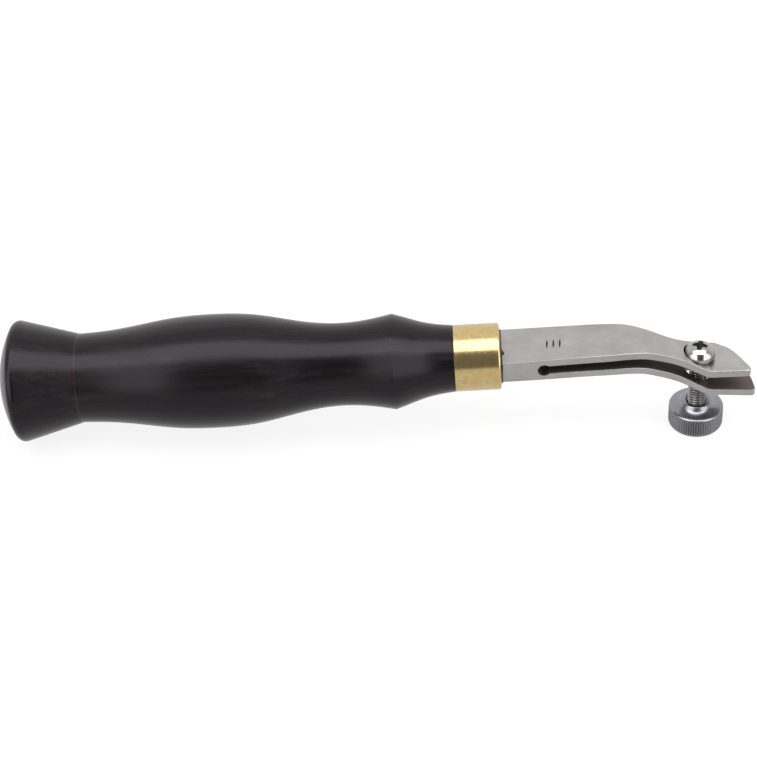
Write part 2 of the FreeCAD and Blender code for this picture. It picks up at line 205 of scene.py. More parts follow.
def cut(mesh, *cutters):
    """Take each closed cutter out of a closed mesh. The new faces keep the cutter's finish."""
    body = bpy.data.objects.new("to_cut", mesh)
    bpy.context.scene.collection.objects.link(body)
    tools = []
    for shape in cutters:
        tool = bpy.data.objects.new("cutter", shape)
        bpy.context.scene.collection.objects.link(tool)
        step = body.modifiers.new("cut", "BOOLEAN")
        step.operation, step.solver, step.object = "DIFFERENCE", "MANIFOLD", tool
        step.material_mode = "TRANSFER"
        tools.append(tool)
    result = bpy.data.meshes.new_from_object(body.evaluated_get(bpy.context.evaluated_depsgraph_get()))
    result.name = mesh.name
    for used in [body] + tools:
        bpy.data.objects.remove(used)
    return result


def rod(radius, low, high, columns=96):
    """A closed rod about Z, its ends closed at the axis."""
    profile = np.array([(low, 0.0), (low, radius), (high, radius), (high, 0.0)])
    return turned(profile, columns)


# ---------------------------------------------------------------------------
# Blade lines
# ---------------------------------------------------------------------------

# the bend's arc leaves the flat top straight above its centre and runs into the slope that ends at the crease
BEND_X = CREASE_X - (TOP_Z - BEND_R + BEND_R / math.cos(SLOPE) - JAW_Z) / math.tan(SLOPE)
BEND_Z = TOP_Z - BEND_R


def bar_line(x, depth):
    """Height this deep below the blade's top: a faint rise, an arc about the bend, the slope, then the level jaw."""
    radius = BEND_R - depth
    root = np.minimum(ROOT_TOP_Z + ROOT_RISE * x, TOP_Z) - depth
    bend = BEND_Z + np.sqrt(np.maximum(radius ** 2 - (x - BEND_X) ** 2, 0.0))
    slope = np.maximum(BEND_Z + radius / math.cos(SLOPE) - (x - BEND_X) * math.tan(SLOPE), JAW_Z - depth)
    return np.where(x <= BEND_X, root, np.where(x <= BEND_X + radius * math.sin(SLOPE), bend, slope))


def slot_gap(x):
    """The leaves part by a gap that grows with the square of the distance from the slot's root."""
    return SLOT_GAP + (TIP_GAP - SLOT_GAP) * ((x - SLOT_ROOT_X) / (UPPER_TIP[-1][0] - SLOT_ROOT_X)) ** 2


def leaf_bottom(x):
    """The lower leaf's underside: both leaves' thickness and the gap below the top."""
    return bar_line(x, UPPER_THICK + LOWER_THICK) - slot_gap(x)


def root_bottom(x):
    """The straight underside between the ferrule and the slot's root."""
    end = float(leaf_bottom(np.array(SLOT_ROOT_X)))
    return ROOT_BOTTOM_Z + (end - ROOT_BOTTOM_Z) * (x + FERRULE_WALL) / (SLOT_ROOT_X + FERRULE_WALL)


def plan_edges(tip):
    """Near and far edge of a leaf from above, station by station. Both end at the middle of the tip's corner, so
    the stations turn from square across the leaf to slanting across the swept tip."""
    waist = np.array(HALF_WIDTHS)
    body = curve_through(waist, 130)
    corner = (tip[-1][0] - TIP_CORNER_R, tip[-1][1])
    radii = (TIP_CORNER_R, tip[-1][1] - JAW_NEAR_Y)
    sweep = curve_through([waist[-1]] + tip, 56)
    far = np.concatenate([body, sweep[1:], arc(corner, radii, 0, -45, 9)[1:]])
    near_run = np.linspace((waist[-1][0], -waist[-1][1]), (corner[0], JAW_NEAR_Y), 56)
    near = np.concatenate([body * (1, -1), near_run[1:], arc(corner, radii, -90, -45, 9)[1:]])
    return near, far


def outward(edge, side):
    """Unit normals of an edge in plan, a quarter turn from its direction."""
    run = np.gradient(edge, axis=0)
    run /= np.linalg.norm(run, axis=1)[:, None]
    return side * np.stack([-run[:, 1], run[:, 0]], -1)


ARC_STEPS = 6  # points round each rounded edge
ACROSS_STEPS = 12  # gaps across the top


def bar_rings(near, far, top_of, bottom_of, near_round, far_round, low_round):
    """Sections of a bar between two plan edges. Each ring goes up the near wall, round the near top edge, across
    the top, round the far top edge, down, and back underneath. A rounded edge of radius r at angle a is moved in
    by r(1 - cos a) along the edge's normal and down by r(1 - sin a); the top and bottom follow their lines at
    every point's own X."""
    quarter = np.radians(np.linspace(0, 90, ARC_STEPS))
    middle = np.linspace(0, 1, ACROSS_STEPS + 1)[1:-1]
    side_in, side_drop = 1 - np.cos(quarter), 1 - np.sin(quarter)
    flat_in, flat_drop = np.ones_like(middle), np.zeros_like(middle)
    half = [(np.zeros(ARC_STEPS), side_in, side_drop), (middle, flat_in, flat_drop),
            (np.ones(ARC_STEPS), side_in[::-1], side_drop[::-1])]
    t, inset, drop = (np.concatenate(part) for part in zip(*half))
    upper = np.concatenate([np.ones_like(t), np.zeros_like(t)])
    t, inset, drop = (np.concatenate([part, part[::-1]]) for part in (t, inset, drop))
    normal_near, normal_far = outward(near, -1), outward(far, 1)
    if np.allclose(near[-1], far[-1]):
        shared = normal_near[-1] + normal_far[-1]
        normal_near[-1] = normal_far[-1] = shared / np.linalg.norm(shared)
    stations = len(near)
    radius_top = (1 - t) * np.broadcast_to(near_round, stations)[:, None] + t * np.broadcast_to(
        far_round, stations)[:, None]
    radius = upper * radius_top + (1 - upper) * low_round
    move = (radius * inset)[..., None]
    a = near[:, None] - move * normal_near[:, None]
    b = far[:, None] - move * normal_far[:, None]
    plan = (1 - t)[:, None] * a + t[:, None] * b
    x = plan[..., 0]
    z = upper * (top_of(x) - radius * drop) + (1 - upper) * (bottom_of(x) + radius * drop)
    return np.concatenate([plan, z[..., None]], -1)


def capped(rings):
    """Close a run of rings: each end ring is followed by its own middle, as a pole."""
    first = np.broadcast_to(rings[0].mean(0), rings[0].shape)
    last = np.broadcast_to(rings[-1].mean(0), rings[-1].shape)
    return np.concatenate([first[None], rings, last[None]])


# ---------------------------------------------------------------------------
# Finishes
# ---------------------------------------------------------------------------

def linear(hex_code):
    """An sRGB hex colour as linear RGBA."""
    value = [int(hex_code[i:i + 2], 16) / 255 for i in (1, 3, 5)]
    return [v / 12.92 if v <= 0.04045 else ((v + 0.055) / 1.055) ** 2.4 for v in value] + [1.0]


def add(tree, kind, inputs=(), **settings):
    """Add a node with its settings, and feed its inputs: a socket is linked, anything else is a set value."""
    new = tree.nodes.new(kind)
    for name, value in settings.items():
        setattr(new, name, value)
    for key, value in dict(inputs).items():
        if isinstance(value, bpy.types.NodeSocket):
            tree.links.new(value, new.inputs[key])
        else:
            new.inputs[key].default_value = value
    return new


def new_finish(name):
    """An empty finish with its output, and the surface's coordinates in the tool's own millimetres."""
    material = bpy.data.materials.new(name)
    material.use_nodes = True
    tree = material.node_tree
    tree.nodes.clear()
    place = add(tree, "ShaderNodeTexCoord")
    along = add(tree, "ShaderNodeMapping", {"Vector": place.outputs["Object"], "Location": ORIGIN.tolist(),
                                            "Rotation": (0.0, -PITCH, 0.0), "Scale": (MM, MM, MM)},
                vector_type="TEXTURE")
    return material, tree, along.outputs["Vector"]


def finish_with(tree, inputs, bump):
    """The one shader of a finish, with the bump as its normal."""
    shader = add(tree, "ShaderNodeBsdfPrincipled", {**inputs, "Normal": bump.outputs["Normal"]})
    add(tree, "ShaderNodeOutputMaterial", {"Surface": shader.outputs["BSDF"]})


def blend_stops(tree, factor, stops):
    """A colour ramp through (place, hex) stops."""
    ramp = add(tree, "ShaderNodeValToRGB", {"Fac": factor})
    elements = ramp.color_ramp.elements
    while len(elements) < len(stops):
        elements.new(0.5)
    for element, (place, colour) in zip(elements, stops):
        element.position = place
        element.color = linear(colour)
    return ramp.outputs["Color"]


def turned_ebony():
    """Ebony turned on a lathe and rubbed with wax: near black, with brown streaks a millimetre or two wide that
    run along the grain, pores 0.15 mm across, and a soft sheen. A thin ring at the neck's crease is paler."""
    material, tree, place = new_finish("ebony_turned_waxed")
    grain = add(tree, "ShaderNodeMapping", {"Vector": place, "Scale": (0.035, 0.75, 0.75)})
    streaks = add(tree, "ShaderNodeTexNoise", {"Vector": grain.outputs["Vector"], "Scale": 1.0, "Detail": 6.0,
                                               "Roughness": 0.62, "Distortion": 0.4})
    wood = blend_stops(tree, streaks.outputs["Fac"], [(0.3, "#060507"), (0.5, "#0a0809"), (0.62, "#120c0c"),
                                                      (0.76, "#1e1310")])
    split = add(tree, "ShaderNodeSeparateXYZ", {"Vector": place})
    off_neck = add(tree, "ShaderNodeMath", {0: split.outputs["X"], 1: NECK[0]}, operation="SUBTRACT")
    far_off = add(tree, "ShaderNodeMath", {0: off_neck.outputs[0]}, operation="ABSOLUTE")
    crease = add(tree, "ShaderNodeMapRange", {"Value": far_off.outputs[0], "From Min": 0.1, "From Max": 0.4,
                                              "To Min": 0.25, "To Max": 0.0})
    colour = add(tree, "ShaderNodeMix", {"Factor": crease.outputs["Result"], "A": wood, "B": linear("#3a2c27")},
                 data_type="RGBA")
    pores = add(tree, "ShaderNodeMapping", {"Vector": place, "Scale": (0.5, 6.5, 6.5)})
    pits = add(tree, "ShaderNodeTexNoise", {"Vector": pores.outputs["Vector"], "Scale": 1.0, "Detail": 3.0})
    rough = add(tree, "ShaderNodeMapRange", {"Value": streaks.outputs["Fac"], "From Min": 0.3, "From Max": 0.7,
                                             "To Min": 0.22, "To Max": 0.32})
    bump = add(tree, "ShaderNodeBump", {"Height": pits.outputs["Fac"], "Strength": 0.12, "Distance": 0.03 * MM})
    finish_with(tree, {"Base Color": colour.outputs["Result"], "Roughness": rough.outputs["Result"], "IOR": 1.5,
                       "Specular IOR Level": 0.19, "Specular Tint": linear("#fff4ff")}, bump)
    return material


def turned_brass():
    """Yellow brass turned and polished on the lathe: a mirror with fine rings round it, 0.25 mm apart (coarser
    than the tool marks are, so that they show), and a faint brown tarnish in patches."""
    material, tree, place = new_finish("brass_turned_polished")
    split = add(tree, "ShaderNodeSeparateXYZ", {"Vector": place})
    rings = add(tree, "ShaderNodeTexNoise", {"W": split.outputs["X"], "Scale": 4.0, "Detail": 2.0},
                noise_dimensions="1D")
    patches = add(tree, "ShaderNodeTexNoise", {"Vector": place, "Scale": 0.35, "Detail": 4.0})
    colour = blend_stops(tree, patches.outputs["Fac"], [(0.35, "#b29a67"), (0.6, "#b9a576"), (0.75, "#ab9263")])
    rough = add(tree, "ShaderNodeMapRange", {"Value": rings.outputs["Fac"], "From Min": 0.3, "From Max": 0.7,
                                             "To Min": 0.15, "To Max": 0.27})
    bump = add(tree, "ShaderNodeBump", {"Height": rings.outputs["Fac"], "Strength": 0.3, "Distance": 0.02 * MM})
    finish_with(tree, {"Base Color": colour, "Metallic": 1.0, "Roughness": rough.outputs["Result"]}, bump)
    return material


def ground_steel():
    """Tool steel ground along the blade and left satin: grey, with scratches 0.1 to 0.2 mm wide that run a few
    millimetres, and slow cloudy changes of tone."""
    material, tree, place = new_finish("steel_ground_satin")
    lay = add(tree, "ShaderNodeMapping", {"Vector": place, "Scale": (0.4, 5.5, 5.5)})
    scratches = add(tree, "ShaderNodeTexNoise", {"Vector": lay.outputs["Vector"], "Scale": 1.0, "Detail": 4.0,
                                                 "Roughness": 0.6})
    clouds = add(tree, "ShaderNodeTexNoise", {"Vector": place, "Scale": 0.22, "Detail": 3.0})
    tone = add(tree, "ShaderNodeMath", {0: scratches.outputs["Fac"], 1: clouds.outputs["Fac"]}, operation="ADD")
    half = add(tree, "ShaderNodeMath", {0: tone.outputs[0], 1: 0.5}, operation="MULTIPLY")
    colour = blend_stops(tree, half.outputs[0], [(0.35, "#8f8c8c"), (0.5, "#989595"), (0.65, "#9f9c9c")])
    rough = add(tree, "ShaderNodeMapRange", {"Value": scratches.outputs["Fac"], "From Min": 0.3, "From Max": 0.7,
                                             "To Min": 0.3, "To Max": 0.42})
    bump = add(tree, "ShaderNodeBump", {"Height": scratches.outputs["Fac"], "Strength": 0.18,
                                        "Distance": 0.03 * MM})
    finish_with(tree, {"Base Color": colour, "Metallic": 1.0, "Roughness": rough.outputs["Result"],
                       "Anisotropic": 0.3}, bump)
    return material


def slot_steel():
    """The slot's own faces, sawn: painted shade, a dark grey that grows lighter and browner towards the
    open end."""
    material, tree, place = new_finish("steel_slot_painted_shade")
    split = add(tree, "ShaderNodeSeparateXYZ", {"Vector": place})
    reach = add(tree, "ShaderNodeMapRange", {"Value": split.outputs["X"], "From Min": 38.0, "From Max": 56.0})
    saw = add(tree, "ShaderNodeMapping", {"Vector": place, "Scale": (0.6, 4.0, 1.0)})
    marks = add(tree, "ShaderNodeTexNoise", {"Vector": saw.outputs["Vector"], "Scale": 1.0, "Detail": 4.0})
    uneven = add(tree, "ShaderNodeMath", {0: marks.outputs["Fac"], 1: 0.35, 2: reach.outputs["Result"]},
                 operation="MULTIPLY_ADD")
    colour = blend_stops(tree, uneven.outputs[0], [(0.15, "#4e4a48"), (0.6, "#514846"), (1.0, "#5c5351")])
    bump = add(tree, "ShaderNodeBump", {"Height": marks.outputs["Fac"], "Strength": 0.25, "Distance": 0.04 * MM})
    finish_with(tree, {"Base Color": colour, "Metallic": 1.0, "Roughness": 0.6}, bump)
    return material


def bright_nickel(name, light, dark, low, high):
    """Bright nickel plate: almost a mirror, with a skin of handling marks 0.3 mm and smaller that only dull it
    a little."""
    material, tree, place = new_finish(name)
    skin = add(tree, "ShaderNodeTexNoise", {"Vector": place, "Scale": 3.0, "Detail": 4.0})
    colour = blend_stops(tree, skin.outputs["Fac"], [(0.3, dark), (0.7, light)])
    rough = add(tree, "ShaderNodeMapRange", {"Value": skin.outputs["Fac"], "From Min": 0.3, "From Max": 0.7,
                                             "To Min": low, "To Max": high})
    bump = add(tree, "ShaderNodeBump", {"Height": skin.outputs["Fac"], "Strength": 0.05, "Distance": 0.02 * MM})
    finish_with(tree, {"Base Color": colour, "Metallic": 1.0, "Roughness": rough.outputs["Result"]}, bump)
    return material


def set_resin():
    """Black epoxy that set with a soft skin, brown where it is thin."""
    material, tree, place = new_finish("epoxy_black_set")
    skin = add(tree, "ShaderNodeTexNoise", {"Vector": place, "Scale": 1.4, "Detail": 3.0})
    colour = blend_stops(tree, skin.outputs["Fac"], [(0.35, "#120d0b"), (0.6, "#22140e"), (0.75, "#3a2417")])
    bump = add(tree, "ShaderNodeBump", {"Height": skin.outputs["Fac"], "Strength": 0.2, "Distance": 0.05 * MM})
    finish_with(tree, {"Base Color": colour, "Roughness": 0.45, "IOR": 1.55, "Specular IOR Level": 0.2}, bump)
    return material


def recess_shade_and_mark_black():
    """Matt black with a grain of crumbs 0.2 mm across: painted shade in the screw's cross recess, and the
    black of the tally marks."""
    material, tree, place = new_finish("black_recess_shade_and_marks")
    crumbs = add(tree, "ShaderNodeTexNoise", {"Vector": place, "Scale": 5.0, "Detail": 3.0})
    colour = blend_stops(tree, crumbs.outputs["Fac"], [(0.35, "#0b0a0a"), (0.7, "#241f1d")])
    bump = add(tree, "ShaderNodeBump", {"Height": crumbs.outputs["Fac"], "Strength": 0.4, "Distance": 0.05 * MM})
    finish_with(tree, {"Base Color": colour, "Roughness": 0.7, "IOR": 1.45}, bump)
    return material


ebony = turned_ebony()
brass = turned_brass()
steel = ground_steel()
slot_shade_steel = slot_steel()
screw_plate = bright_nickel("nickel_bright_screw", "#9c9a98", "#92908e", 0.08, 0.14)
# the thread's nickel is painted darker than the head's, as shade on the shank; it is also rougher
thread_plate_shaded = bright_nickel("nickel_thread_shaded_rough", "#939192", "#7f7d7e", 0.2, 0.3)
knob_plate = bright_nickel("nickel_polished_knob", "#87868c", "#78777d", 0.22, 0.3)
knurl_plate = bright_nickel("nickel_knurled_band", "#828183", "#706f71", 0.25, 0.36)
resin = set_resin()
black_recess_and_marks = recess_shade_and_mark_black()


# ---------------------------------------------------------------------------
# Handle
# ---------------------------------------------------------------------------

def butt_profile():
    """Shallow dome, rounded rim, then the straight cone to the neck. The rounding's centre lies its own radius
    inside both the dome and the cone; the loop walks it along the cone until both hold."""
    height = BUTT_RIM_X - BUTT_APEX_X
    dome_r = (BUTT_RIM_R ** 2 + height ** 2) / (2 * height)
    dome_x = BUTT_APEX_X + dome_r
    cone = math.atan2(BUTT_RIM_R - NECK[1], NECK[0] - BUTT_RIM_X)
    x = BUTT_RIM_X
    for _ in range(20):
        r = BUTT_RIM_R - (x - BUTT_RIM_X) * math.tan(cone) - BUTT_ROUNDING / math.cos(cone)
        x = dome_x - math.sqrt((dome_r - BUTT_ROUNDING) ** 2 - r ** 2)
    dome_end = math.degrees(math.atan2(r, x - dome_x))
    dome = arc((dome_x, 0.0), (dome_r, dome_r), 180.0, dome_end, 28)
    rounding = arc((x, r), (BUTT_ROUNDING, BUTT_ROUNDING), dome_end, 90.0 - math.degrees(cone), 14)
    flank = np.linspace(rounding[-1], NECK, 24)
    return np.concatenate([dome, rounding[1:], flank[1:]])


def handle_profile():
    """The butt, the swelling grip, the ridge and the flare into the ferrule, then the tenon and the tang's bore."""
    front = (-FERRULE_LENGTH, FERRULE_R)
    grip = curve_through([NECK] + BULGE + [RIDGE], 120)
    flare = curve_through([RIDGE] + FLARE + [front], 36)
    inside = [(-FERRULE_LENGTH, TENON_R), (-FERRULE_WALL, TENON_R), (-FERRULE_WALL, BORE_R),
              (BORE_END_X, BORE_R), (BORE_END_X, 0.0)]
    return np.concatenate([butt_profile(), grip[1:], flare[1:], inside])


new_piece("handle_turned", smooth(grid_mesh("handle_turned", placed(turned(handle_profile(), 160, True))), 28.0),
          ebony, "tool_body", ["handle"])


# ---------------------------------------------------------------------------
# Ferrule and resin
# ---------------------------------------------------------------------------

def mouth_angles(per_side):
    """Angles about X, evenly spaced between the mouth's four corners, so that every corner has its own column."""
    corners = [math.atan2(z, y) for y, z in ((MOUTH_HALF_WIDTH, MOUTH_LOW), (MOUTH_HALF_WIDTH, MOUTH_HIGH),
                                             (-MOUTH_HALF_WIDTH, MOUTH_HIGH), (-MOUTH_HALF_WIDTH, MOUTH_LOW))]
    corners = np.unwrap(corners + [corners[0] + 2 * math.pi])
    return np.concatenate([np.linspace(a, b, per_side, endpoint=False) for a, b in zip(corners[:-1], corners[1:])])


def rectangle_reach(angle, half_width, low, high):
    """How far a ray from the axis goes before it meets the rectangle."""
    c, s = np.cos(angle), np.sin(angle)
    across = half_width / np.maximum(np.abs(c), 1e-9)
    upright = np.where(s > 0, high, -low) / np.maximum(np.abs(s), 1e-9)
    return np.minimum(across, upright)


def ferrule_grid():
    """A round cup with a rectangular mouth. Rows run forward along the inner wall, in to the mouth, through the
    front wall, out over the front face, round its edge and back along the outside."""
    angle = mouth_angles(40)
    mouth = rectangle_reach(angle, MOUTH_HALF_WIDTH, MOUTH_LOW, MOUTH_HIGH)
    ease = 0.12  # the mouth's broken edge
    edge = arc((-FERRULE_ROUNDING, FERRULE_R - FERRULE_ROUNDING), (FERRULE_ROUNDING, FERRULE_ROUNDING), 0, 90, 9)
    rows = [(-FERRULE_LENGTH, 0 * angle + TENON_R), (-FERRULE_WALL, 0 * angle + TENON_R), (-FERRULE_WALL, mouth),
            (-ease, mouth), (-0.3 * ease, mouth + 0.3 * ease), (0.0, mouth + ease)]
    rows += [(x, 0 * angle + r) for x, r in edge]
    rows += [(x, 0 * angle + FERRULE_R) for x in np.linspace(-1.2, -FERRULE_LENGTH + 0.15, 20)]
    rows += [(-FERRULE_LENGTH, 0 * angle + FERRULE_R - 0.12)]
    x = np.array([row[0] for row in rows])[:, None] + 0 * angle
    radius = np.stack([row[1] for row in rows])
    return np.stack([x, radius * np.cos(angle), radius * np.sin(angle)], -1)


new_piece("ferrule_turned", smooth(grid_mesh("ferrule_turned", placed(ferrule_grid()), along=True), 35.0),
          brass, "tool_body", ["ferrule"])


def resin_fillet_shade_grid():
    """The fillet of resin round the blade's root: a closed bead between the blade and the mouth, whose width
    wanders by two slow waves, with a run of resin drawn out on to the blade's top. Its black is partly the
    resin's own and partly painted shade, where the blade enters the ferrule."""
    angle = mouth_angles(30)
    blade_edge = rectangle_reach(angle, ROOT_HALF_WIDTH, ROOT_BOTTOM_Z, ROOT_TOP_Z) - 0.15
    outer = rectangle_reach(angle, MOUTH_HALF_WIDTH, MOUTH_LOW, MOUTH_HIGH) + 0.02
    wander = 0.05 * np.sin(3 * angle + 0.8) + 0.03 * np.sin(7 * angle)
    front = 0.2 + wander
    rows = [(-0.6 + 0 * angle, blade_edge), (-0.6 + 0 * angle, outer), (-0.1 + 0 * angle, outer),
            (front, 0.5 * outer + 0.5 * (blade_edge + 0.15)), (front + 0.16, blade_edge + 0.17),
            (front + 0.2, blade_edge + 0.13), (front + 0.18, blade_edge)]
    x = np.stack([row[0] for row in rows])
    radius = np.stack([row[1] for row in rows])
    return np.stack([x, radius * np.cos(angle), radius * np.sin(angle)], -1)


def resin_run_grid():
    """A small run of resin on the blade's top: a low dome whose outline is an oval with two lobes, its height
    falling to nothing at the rim as the square root of what is left."""
    angle = np.linspace(0, 2 * math.pi, 48, endpoint=False)
    outline = 1 + 0.16 * np.sin(2 * angle + 0.6) + 0.1 * np.sin(3 * angle + 2.0)
    reach = np.linspace(0, 1, 10)[:, None]
    x = 0.25 + 0.55 * reach * outline * np.cos(angle)
    y = -2.3 + 1.15 * reach * outline * np.sin(angle)
    z = bar_line(x, 0.0) - 0.06 + 0.2 * np.sqrt(1 - reach ** 2)
    under = np.stack([x[-1], y[-1], bar_line(x[-1], 0.0) - 0.12], -1)
    middle = np.broadcast_to(under.mean(0), under.shape)
    return np.concatenate([np.stack([x, y, z], -1), under[None], middle[None]])


# the bead's black is partly the resin and partly painted shade, the contact shadow where the blade enters the ferrule
new_piece("resin_bead_and_shade", smooth(grid_mesh("resin_bead_and_shade", placed(resin_fillet_shade_grid()), along=True), 50.0), resin,
          "tool_body")
new_piece("resin_run", smooth(grid_mesh("resin_run", placed(resin_run_grid())), 60.0), resin, "tool_body")
tang_bed = frame["nodes"]["tang_bed"].data
tang_bed.materials.clear()
tang_bed.materials.append(resin)


# ---------------------------------------------------------------------------
# Blade and lower leaf
# ---------------------------------------------------------------------------

EDGE_BREAK = 0.17  # the sharp edges are broken by this much
SLOT_BREAK = 0.12  # those beside the slot by this much
ROOT_BREAK = 0.06  # and by less along the root bar's top
TIP_DUBBING = 1.25  # the swept tip's top edge is dubbed over by this much
CORNER_DUBBING = 0.35  # and by this much at its corner
FULL_BREAK_X = 22.0  # from here on the top edges have their full break
DUBBING_X = (45.6, 49.2)  # along the far edge the dubbing grows between these
CORNER_X = (51.6, 53.4)  # and along the near edge the corner's grows between these
TALLY_X = (10.2, 11.6, 13.0)


def eased(value, start, end):
    """0 before start, 1 after end, and between them three squares less two cubes of the way gone."""
    t = np.clip((value - start) / (end - start), 0, 1)
    return t * t * (3 - 2 * t)


def slot_faces(mesh, is_upper):
    """Give the slot's own faces the painted shade: those that face into the slot and lie inside its outline."""
    count = len(mesh.polygons)
    normal = np.empty(count * 3)
    centre = np.empty(count * 3)
    mesh.polygons.foreach_get("normal", normal)
    mesh.polygons.foreach_get("center", centre)
    c, s = math.cos(PITCH), math.sin(PITCH)
    offset = (centre.reshape(-1, 3) - ORIGIN) / MM
    x, z = offset[:, 0] * c + offset[:, 2] * s, offset[:, 2] * c - offset[:, 0] * s
    across, up = np.abs(normal.reshape(-1, 3)[:, 1]), normal.reshape(-1, 3)[:, 2]
    middle = bar_line(x, UPPER_THICK) - slot_gap(x) / 2
    near_slot = np.abs(z - middle) < slot_gap(x) / 2 + 0.5
    facing = (up < -0.6) if is_upper else (up > 0.6)
    in_slot = near_slot & (across < 0.5) & (x > SLOT_ROOT_X - RELIEF_R - 0.2) & (facing | (x < SLOT_ROOT_X + 1.2))
    finish = np.empty(count, np.int32)
    mesh.polygons.foreach_get("material_index", finish)
    shade_index = mesh.materials.find(slot_shade_steel.name)
    mesh.polygons.foreach_set("material_index", np.where(in_slot, shade_index, finish))


def across_rod(radius, x, z):
    """A rod across the tool at a point of its side view."""
    body = rod(radius, -12.0, 12.0, 72)
    return np.stack([x + body[..., 0], body[..., 2], z + body[..., 1]], -1)


def tally_groove(x):
    """A short V groove across the blade's top: its section is a triangle that shrinks to nothing at both ends."""
    t = np.linspace(-1, 1, 17)
    size = np.sqrt(np.maximum(1 - t ** 2, 0.0))[:, None]
    section = np.array([(-0.5, 0.3), (0.5, 0.3), (0.0, -0.2)])
    top = bar_line(np.array(x), 0.0)
    groove_x = x + section[:, 0] * size + 0.12 * t[:, None]
    groove_z = top + np.where(section[:, 1] > 0, section[:, 1], section[:, 1] * size)
    return np.stack([groove_x, -0.2 + 1.5 * t[:, None] + 0 * groove_x, groove_z], -1)


def blade_grid():
    """The tang, the root bar and the upper leaf as one run of rings. Two rings stand at the slot's root, one the
    root's full height and one the leaf's, which leaves the slot's end wall between them."""
    near, far = plan_edges(UPPER_TIP)
    root_x = np.linspace(-FERRULE_WALL, SLOT_ROOT_X - 0.02, 16)
    half = np.linspace(ROOT_HALF_WIDTH, HALF_WIDTHS[0][1], 16)
    root_near, root_far = np.stack([root_x, -half], -1), np.stack([root_x, half], -1)
    far_round = ROOT_BREAK + (EDGE_BREAK - ROOT_BREAK) * eased(far[:, 0], SLOT_ROOT_X, FULL_BREAK_X)
    far_round += (TIP_DUBBING - EDGE_BREAK) * eased(far[:, 0], *DUBBING_X)
    far_round += (CORNER_DUBBING - TIP_DUBBING) * eased(-far[:, 1], 1.0, -UPPER_TIP[-1][1])
    near_round = ROOT_BREAK + (EDGE_BREAK - ROOT_BREAK) * eased(near[:, 0], SLOT_ROOT_X, FULL_BREAK_X)
    near_round += (CORNER_DUBBING - EDGE_BREAK) * eased(near[:, 0], *CORNER_X)
    far_round[-1] = near_round[-1]
    root = bar_rings(root_near, root_far, lambda x: bar_line(x, 0.0), root_bottom, ROOT_BREAK, ROOT_BREAK, EDGE_BREAK)
    leaf = bar_rings(near, far, lambda x: bar_line(x, 0.0), lambda x: bar_line(x, UPPER_THICK), near_round,
                     far_round, SLOT_BREAK)
    spike_x = np.array([TANG_END_X, -FERRULE_WALL - 0.01])
    grow = np.array([TANG_POINT / TANG_WIDTH, 1.0])
    spike_near = np.stack([spike_x, -grow * TANG_WIDTH / 2], -1)
    spike = bar_rings(spike_near, spike_near * (1, -1),
                      lambda x: TANG_HEIGHT / 2 * np.interp(x, spike_x, grow),
                      lambda x: -TANG_HEIGHT / 2 * np.interp(x, spike_x, grow), 0.1, 0.1, 0.1)
    return capped(np.concatenate([spike, root, leaf]))[:-1]


def lower_leaf_grid():
    """The lower leaf from the slot's root to its swept tip."""
    near, far = plan_edges(LOWER_TIP)
    rings = bar_rings(near, far, lambda x: bar_line(x, UPPER_THICK) - slot_gap(x), leaf_bottom, SLOT_BREAK,
                      SLOT_BREAK, EDGE_BREAK)
    return capped(rings)[:-1]


relief_z = float(bar_line(np.array(SLOT_ROOT_X), UPPER_THICK)) - SLOT_GAP / 2
# the relief hole's walls take the slot's painted shade
relief = grid_mesh("relief", placed(across_rod(RELIEF_R, SLOT_ROOT_X, relief_z)), finishes=[slot_shade_steel])
pocket = grid_mesh("pocket", placed(on_screw_axis(rod(POCKET_R, SEAT_Z, 8.0))), finishes=[steel])
screw_hole = grid_mesh("screw_hole", placed(on_screw_axis(rod(SCREW_R + SCREW_CLEARANCE, -9.0, 7.0))),
                       finishes=[steel])
tallies = [grid_mesh("tally", placed(tally_groove(x)), finishes=[black_recess_and_marks]) for x in TALLY_X]
bar = grid_mesh("blade_ground", placed(blade_grid()), finishes=[steel, slot_shade_steel])
blade_mesh = smooth(cut(bar, relief, pocket, screw_hole, *tallies), 30.0)
slot_faces(blade_mesh, True)
new_piece("blade_ground", blade_mesh, steel, "tool_body", ["blade"])


def slotted_rod():
    """A rod stretched along the tool: the half of each ring ahead of the axis moves forward, the rest back."""
    body = rod(LEAF_HOLE_R, -15.5, 0.0)
    move = np.where(body[..., 0] > 1e-9, LEAF_HOLE_FORE, -LEAF_HOLE_BACK)
    centre = np.hypot(body[..., 0], body[..., 1]) < 1e-9
    body[..., 0] += np.where(centre, (LEAF_HOLE_FORE - LEAF_HOLE_BACK) / 2, move)
    return body


leaf_hole = grid_mesh("leaf_hole", placed(on_screw_axis(slotted_rod())), finishes=[steel])
strip = grid_mesh("leaf_lower", placed(lower_leaf_grid()), finishes=[steel, slot_shade_steel])
leaf_mesh = smooth(cut(strip, relief, leaf_hole), 30.0)
slot_faces(leaf_mesh, False)
leaf = bpy.data.objects.new("leaf_lower", leaf_mesh)
bpy.context.scene.collection.objects.link(leaf)
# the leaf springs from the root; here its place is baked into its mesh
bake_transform(leaf)
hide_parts("lower_leaf")


# ---------------------------------------------------------------------------
# Adjusting screw
# ---------------------------------------------------------------------------

SEAT = SEAT_Z + SEAT_GAP
THREAD_DEPTH = 0.5  # a little more than the real one's, so that the thread shows


def head_profile():
    """A pan head: a short upright rim, then a crown whose height and radius are a quarter ellipse."""
    crown = arc((SEAT + HEAD_RIM, 0.0), (HEAD_H - HEAD_RIM, HEAD_R), 90, 0, 32)
    return np.concatenate([[(SEAT, 0.0), (SEAT, HEAD_R - 0.12), (SEAT + 0.1, HEAD_R)], crown])


